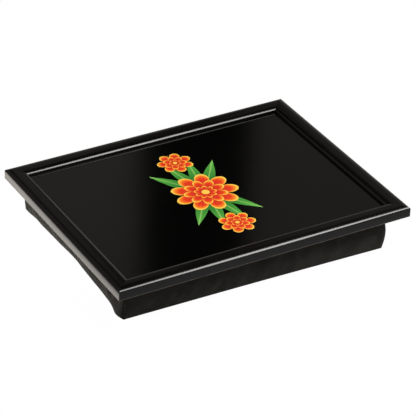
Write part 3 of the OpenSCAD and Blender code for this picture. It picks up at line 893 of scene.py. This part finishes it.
def add_stitch(points, faces, start, end):
    """Adds a short thread with tapered ends from start to end."""
    radius, sides = THREAD_R, THREAD_SIDES
    start, end = Vector(start), Vector(end)
    axis = (end - start).normalized()
    across = axis.orthogonal().normalized()
    up = axis.cross(across)
    first = len(points)
    near, far = mix(start, end, 0.2), mix(start, end, 0.8)
    rings = ((start, THREAD_END), (near, 1.0), (far, 1.0), (end, THREAD_END))
    for centre, wide in rings:
        for i in range(sides):
            turn = 2 * math.pi * i / sides
            points.append(centre + (across * math.cos(turn) + up * math.sin(turn)) * radius * wide)
    faces += sleeve(first, len(rings), sides)
    faces.append([first + i for i in reversed(range(sides))])
    faces.append([first + (len(rings) - 1) * sides + i for i in range(sides)])


def make_stitches(form, thread):
    """A row of topstitching above the zip and one below it."""
    count = int(STITCH_ROW_L / STITCH_PITCH)
    for name, z in STITCH_ROWS:
        points, faces = [], []
        for i in range(count):
            share = STITCH_FIRST + STITCH_SPAN * i / count
            start, out = wall_spot(form, BACK, share, z)
            end, _ = wall_spot(form, BACK, share + STITCH_SPAN * STITCH / STITCH_PITCH / count, z)
            lift = out * THREAD_R * 0.5
            add_stitch(points, faces, start + lift, end + lift)
        dressed(mesh_object(name, points, faces, thread), "cushion", "cover_fabric")


TAB_CELLS = (12, 6)
TAB_SWELL = 0.45 * MM
TAB_T = 0.35 * MM


def make_tabs(cloth):
    """The pillowed tabs that close the slot at the zip's ends."""
    for side in ("left", "right"):
        low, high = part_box(f"zip_tab_{side}")
        points = []
        across, up = TAB_CELLS
        for j in range(up + 1):
            for i in range(across + 1):
                u, v = i / across, j / up
                swell = (1 - (2 * u - 1) ** 6) * (1 - (2 * v - 1) ** 4)
                points.append((
                    mix(high[0], low[0], u),
                    high[1] - TAB_SWELL * (1 - swell),
                    mix(low[2], high[2], v),
                ))
        faces = grid_faces(number_grid(across + 1, up + 1))
        made = mesh_object(f"tab_{side}", points, faces, cloth, sharp=80)
        thickened(made, TAB_T)
        dressed(made, "cushion", "cover_fabric", f"zip_tab_{side}")


BAG_IN = 1.7 * MM


def make_bag(form):
    """The inner bag of beads, just inside the cover and clear of the zip's inner side."""
    points = form.points - normals(form) * BAG_IN
    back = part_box("bead_bag")[1][1]
    points[:, 1] = np.minimum(points[:, 1], back)
    made = mesh_object("bag", points, form.faces(), liner(), sharp=180)
    rounded(made)
    dressed(made, "cushion", "liner", "bead_bag")


SEAM_PINCH = 0.5 * MM


def make_cushion():
    form = Cushion()
    puff(form)
    crease(form)
    pinch(form, SEAM_PINCH)
    weaves = {
        "flat": fabric("cover_twill_flat", 0, 1),
        "long": fabric("cover_twill_long", 0, 2),
        "short": fabric("cover_twill_short", 1, 2),
    }
    parts = {
        "cover_top": ("cover_top_panel", "flat"),
        "cover_base": ("cover_base_panel", "flat"),
        "cover_front": ("cover_front_wall", "long"),
        "cover_right": ("cover_right_wall", "short"),
        "cover_left": ("cover_left_wall", "short"),
        "cover_back_upper": ("cover_back_wall_upper", "long"),
        "cover_back_lower": ("cover_back_wall_lower", "long"),
    }
    grids = form.grids()
    for name, (node, weave) in parts.items():
        made = grid_object(name, grids[name], form.points, weaves[weave])
        rounded(made).boundary_smooth = "PRESERVE_CORNERS"
        thickened(made, FABRIC_T * MM)
        dressed(made, "cushion", "cover_fabric", node)
    make_bag(form)
    make_tabs(weaves["long"])
    make_stitches(form, nylon("thread"))


# Hook and loop strips

HOOK_BASE = 0.45 * MM
HOOK_PITCH = 2.2 * MM
HOOK_R = 0.13 * MM
HOOK_MARGIN = 1 * MM
# A hook's points, sideways and up from the tape's face, in shares of its drop
HOOK_BEND = ((0, 0.05), (0, -0.65), (0.35, -1.0), (0.75, -0.75))
PILE_CELL = 1.0 * MM
# Shares of a strip's height: its lowest loops, and the selvedge's rows from the edge inwards
PILE_LOW = 0.66
SELVEDGE = (0.35, 0.45)


def hook_strip(side, material):
    """A tape with rows of little bent hooks that hang down from it."""
    low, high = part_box(f"hook_strip_{side}")
    top, foot = high[2], high[2] - HOOK_BASE
    points = [(x, y, z) for z in (foot, top) for y in (low[1], high[1]) for x in (low[0], high[0])]
    faces = [[0, 2, 3, 1], [4, 5, 7, 6], [0, 1, 5, 4], [2, 6, 7, 3], [0, 4, 6, 2], [1, 3, 7, 5]]
    room = [high[a] - low[a] - 2 * HOOK_MARGIN for a in (0, 1)]
    counts = [int(room[a] / HOOK_PITCH) for a in (0, 1)]
    drop = foot - low[2] - HOOK_R
    for i in range(counts[0]):
        for j in range(counts[1]):
            x = low[0] + HOOK_MARGIN + (i + 0.5) * room[0] / counts[0]
            y = low[1] + HOOK_MARGIN + (j + 0.5) * room[1] / counts[1]
            way = 1 if (i + j) % 2 else -1
            first = len(points)
            for along, down in HOOK_BEND:
                centre = Vector((x + way * along * drop, y, foot + down * drop))
                for dx, dy in CORNER_SIGNS:
                    points.append(centre + Vector((dx, dy, 0.3 * dx * way)) * HOOK_R)
            faces += sleeve(first, len(HOOK_BEND), 4, turned=True)
            faces.append(list(range(len(points) - 4, len(points))))
    made = mesh_object(f"hooks_{side}", points, faces, material)
    dressed(made, "tray", "hook_tape", f"hook_strip_{side}")


def loop_strip(side, material):
    """A tape with a rough pile of loops, and a flat sewn selvedge along its edges."""
    low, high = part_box(f"loop_strip_{side}")
    counts = [round((high[a] - low[a]) / PILE_CELL) for a in (0, 1)]
    chance = np.random.default_rng(SIDES.index(side))
    rough = chance.random((counts[1] + 1, counts[0] + 1))
    points = []
    for j in range(counts[1] + 1):
        for i in range(counts[0] + 1):
            edge = min(i, j, counts[0] - i, counts[1] - j)
            pile = PILE_LOW + (1 - PILE_LOW) * rough[j, i]
            share = SELVEDGE[edge] if edge < len(SELVEDGE) else pile
            points.append((
                mix(low[0], high[0], i / counts[0]),
                mix(low[1], high[1], j / counts[1]),
                mix(low[2], high[2], share),
            ))
    wide = counts[0] + 1
    faces = grid_faces(number_grid(wide, counts[1] + 1))
    rim = list(range(wide))
    rim += [j * wide + counts[0] for j in range(1, counts[1] + 1)]
    rim += [counts[1] * wide + i for i in reversed(range(counts[0]))]
    rim += [j * wide for j in reversed(range(1, counts[1]))]
    first = len(points)
    points += [(points[k][0], points[k][1], low[2]) for k in rim]
    for n in range(len(rim)):
        m = (n + 1) % len(rim)
        faces.append([rim[n], first + n, first + m, rim[m]])
    faces.append([first + n for n in reversed(range(len(rim)))])
    made = mesh_object(f"loops_{side}", points, faces, material, sharp=60)
    dressed(made, "cushion", "loop_tape", f"loop_strip_{side}")


def make_strips():
    hooks = tape("hook_nylon", 0, 1, 0.08)
    loops = tape("loop_pile", 0, 1, 0.35)
    for side in SIDES:
        hook_strip(side, hooks)
        loop_strip(side, loops)


# Zip

COIL_PITCH = 1.5 * MM
COIL_THREAD = 0.3 * MM
COIL_STEPS = 12
COIL_SIDES = 6
COIL_STARTS = {"upper": 0.9, "lower": 0.4}


def coil_path(low, high, start):
    """The middle of a coil's thread inside this box; start is in turns."""
    wide, deep = (high.z - low.z) / 2 - COIL_THREAD, high.y - low.y - COIL_THREAD
    middle = (low.z + high.z) / 2
    turns = int((high.x - low.x) / COIL_PITCH) - 1
    path = []
    for i in range(turns * COIL_STEPS):
        turn = 2 * math.pi * i / COIL_STEPS
        path.append(Vector((
            low.x + COIL_PITCH * (start + i / COIL_STEPS),
            low.y + COIL_THREAD / 2 + (deep - COIL_THREAD / 2) * abs(math.sin(turn / 2)),
            middle + wide * math.cos(turn / 2),
        )))
    return path


def make_coils(material):
    """Each row of the zip as a fine coil of nylon, inside the room of its half-round solid."""
    for side, start in COIL_STARTS.items():
        low, high = (Vector(corner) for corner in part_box(f"zip_coil_{side}"))
        path = coil_path(low, high, start)
        points = []
        for i, centre in enumerate(path):
            along = (path[min(i + 1, len(path) - 1)] - path[max(i - 1, 0)]).normalized()
            across = along.cross(Vector((0, 1, 0)))
            across = across.normalized() if across.length > 0.1 else Vector((0, 0, 1))
            other = along.cross(across)
            for k in range(COIL_SIDES):
                turn = 2 * math.pi * k / COIL_SIDES
                points.append(centre + (across * math.cos(turn) + other * math.sin(turn)) * COIL_THREAD / 2)
        faces = sleeve(0, len(path), COIL_SIDES)
        faces.append(list(reversed(range(COIL_SIDES))))
        faces.append(list(range(len(points) - COIL_SIDES, len(points))))
        made = mesh_object(f"coil_{side}", points, faces, material, sharp=80)
        dressed(made, "cushion", "zip_coil", f"zip_coil_{side}")


# Stage

FLOOR_HALF = 6.0
FLOOR_DROP = 0.0003
FLOOR_ALBEDO = 0.5
FLOOR_WHITE = 1.01
FLOOR_IN_GLOSS = 0.58
FLOOR_SHARE = 0.98
# Where a strip of the floor beside the tray's left side starts and stops to glow, in X
GLOW_NEAR = (-0.225, -0.245)
GLOW_FAR = (-0.284, -0.262)
GLOW = 2.1


def make_floor():
    """A pale floor, white to the camera and grey in the gloss, which also sees a glow beside the tray."""
    s = Shader("floor")
    light_path = s.node("ShaderNodeLightPath")
    camera, glossy = light_path.outputs["Is Camera Ray"], light_path.outputs["Is Glossy Ray"]
    gloss = s.add(glossy, light_path.outputs["Is Transmission Ray"])
    pale = s.node("ShaderNodeBsdfDiffuse")
    pale.inputs["Color"].default_value = grey(FLOOR_ALBEDO)
    white = s.node("ShaderNodeEmission")
    s.put(s.add(s.times(camera, FLOOR_WHITE), s.times(gloss, FLOOR_IN_GLOSS)), white.inputs["Strength"])
    seen = s.node("ShaderNodeMixShader")
    s.put(s.times(s.add(camera, gloss), FLOOR_SHARE), seen.inputs[0])
    s.put(pale.outputs[0], seen.inputs[1])
    s.put(white.outputs[0], seen.inputs[2])
    glow = s.node("ShaderNodeEmission")
    glow.inputs["Color"].default_value = rgb(1.0, 0.92, 0.83)
    across = s.place(1.0)[0]
    beside = s.times(s.step(across, *GLOW_NEAR), s.step(across, *GLOW_FAR))
    s.put(s.times(s.times(beside, glossy), GLOW), glow.inputs["Strength"])
    both = s.node("ShaderNodeAddShader")
    s.put(seen.outputs[0], both.inputs[0])
    s.put(glow.outputs[0], both.inputs[1])
    s.output(both.outputs[0])
    points = [(x * FLOOR_HALF, y * FLOOR_HALF, 0) for x, y in CORNER_SIGNS]
    floor = mesh_object("floor", points, [[0, 1, 2, 3]], s.material)
    floor.location.z = -FLOOR_DROP


ROOM_R = 4.0
# Angles are in degrees from the back towards the right, heights are shares of the room's radius. A pair says
# where a smooth change starts and where it is full. Two lit panels stand side by side in each quarter.
PANELS_MIDDLE = 29.7
PANELS_BAR = (3.5, 2.2)
PANELS_END = (15.0, 19.0)
PANELS_TOP = (0.68, 0.56)
PANEL_LEVEL = 0.18
RIGHT_PANEL_DIM, RIGHT_PANEL = 0.045, (-6.0, 6.0)
ABOVE_PANELS = 0.08
FOOT_LEVEL, FOOT = 0.17, (0.28, 0.04)
SIDE_LEVEL, SIDE_HEIGHT, SIDE_FROM = 0.26, (0.5, 0.12), (18.0, 34.0)


def make_room():
    """The dim room round the set, which the camera doesn't see: lit panels, dark gaps and a paler foot."""
    s = Shader("room")
    place = s.place(1.0)
    level = s.math("DIVIDE", place[2], ROOM_R)
    around = s.math("DEGREES", s.math("ARCTAN2", place[0], place[1]))
    phase = s.math("WRAP", s.less(around, PANELS_MIDDLE), 45.0, -45.0)
    away = s.math("ABSOLUTE", phase)
    gap = s.add(s.step(away, *PANELS_BAR), s.step(away, *PANELS_END))
    panel = s.less(PANEL_LEVEL, s.times(s.step(phase, *RIGHT_PANEL), RIGHT_PANEL_DIM))
    lit = s.times(panel, s.less(1.0, gap))
    lit = s.times(lit, s.add(ABOVE_PANELS, s.times(s.step(level, *PANELS_TOP), 1 - ABOVE_PANELS)))
    lit = s.add(lit, s.times(s.step(level, *FOOT), FOOT_LEVEL))
    side = s.times(s.step(level, *SIDE_HEIGHT), s.step(around, *SIDE_FROM))
    lit = s.add(lit, s.times(side, SIDE_LEVEL))
    glow = s.node("ShaderNodeEmission")
    glow.inputs["Color"].default_value = rgb(1.04, 1.0, 0.9)
    s.put(lit, glow.inputs["Strength"])
    s.output(glow.outputs[0])
    work = bmesh.new()
    bmesh.ops.create_uvsphere(work, u_segments=96, v_segments=48, radius=ROOM_R)
    below = [v for v in work.verts if v.co.z < -0.01]
    bmesh.ops.delete(work, geom=below, context="VERTS")
    mesh = bpy.data.meshes.new("room")
    work.to_mesh(mesh)
    work.free()
    mesh.materials.append(s.material)
    room = bpy.data.objects.new("room", mesh)
    bpy.context.collection.objects.link(room)
    room.visible_camera = False
    room.visible_shadow = False


def softbox(name, towards, distance, size, radiance, colour=(1, 1, 1)):
    """A flat soft light of this radiance, at a distance in metres from the tray, that faces it."""
    data = bpy.data.lights.new(name, "AREA")
    data.shape = "RECTANGLE"
    data.size, data.size_y = size
    data.energy = math.pi * radiance * size[0] * size[1]
    data.color = colour
    lamp = bpy.data.objects.new(name, data)
    direction = Vector(towards).normalized()
    lamp.location = direction * distance
    lamp.rotation_euler = direction.to_track_quat("Z", "X").to_euler()
    bpy.context.collection.objects.link(lamp)
    lamp.visible_camera = False
    return lamp


def make_light():
    """The world and the lamps; the sheen and the card show in the gloss only, and the strip never does."""
    world = bpy.data.worlds.new("world")
    bpy.context.scene.world = world
    world.use_nodes = True
    world.node_tree.nodes["Background"].inputs["Color"].default_value = grey(1.0)
    softbox("overhead", (0.42, -0.3, 0.9), 1.05, (0.62, 0.54), 10.5, (1.0, 0.98, 0.95))
    sheen = softbox("overhead_sheen", (0.42, -0.36, 0.88), 1.07, (0.64, 0.86), 7.5, (1.0, 0.98, 0.96))
    sheen.visible_diffuse = False
    strip = softbox("left_strip", (-0.74, 0.56, 0.36), 0.8, (0.5, 0.2), 14.0, (1.0, 0.96, 0.89))
    strip.visible_glossy = False
    card = softbox("back_card", (-0.42, 0.56, 0.42), 0.82, (0.8, 0.66), 0.2, (1.0, 0.98, 0.94))
    card.visible_diffuse = False


# Finishes of the solids that stay as they are

ZIP_METAL = ("zip_slider", "zip_pull", "zip_stops")
ZIP_METAL_BEVEL = 0.15 * MM


def finish_solids():
    weave = tape("tape_weave", 0, 2, 0.03)
    finishes = {
        "laminate_sheet": laminate(),
        "tray_board": fibreboard("board_fibres", rgb(0.22, 0.13, 0.07), rgb(0.36, 0.23, 0.13)),
        "backing_board": fibreboard("backing_fibres", rgb(0.07, 0.042, 0.025), rgb(0.14, 0.09, 0.055)),
        "corner_v_nails": metal("nail_steel", grey(0.3), grey(0.5), 0.3, 1.0),
        "glazing_points": metal("point_steel", grey(0.35), grey(0.55), 0.3, 1.0),
        "zip_slider": metal("slider_paint", grey(0.012), grey(0.05), 0.3, 0.6),
        "zip_pull": metal("pull_paint", grey(0.012), grey(0.05), 0.3, 0.6),
        "zip_stops": metal("stop_paint", grey(0.012), grey(0.05), 0.35, 0.6),
        "zip_tape_upper": weave,
        "zip_tape_lower": weave,
    }
    for node, material in finishes.items():
        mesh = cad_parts[node].data
        mesh.materials.clear()
        mesh.materials.append(material)
    for node in ZIP_METAL:
        bevel(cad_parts[node], ZIP_METAL_BEVEL)


# The whole set

make_camera()
make_light()
make_floor()
make_room()
make_rails()
make_cushion()
make_strips()
make_coils(nylon("coil_nylon"))
finish_solids()

bpy.context.scene.view_settings.view_transform = "Standard"
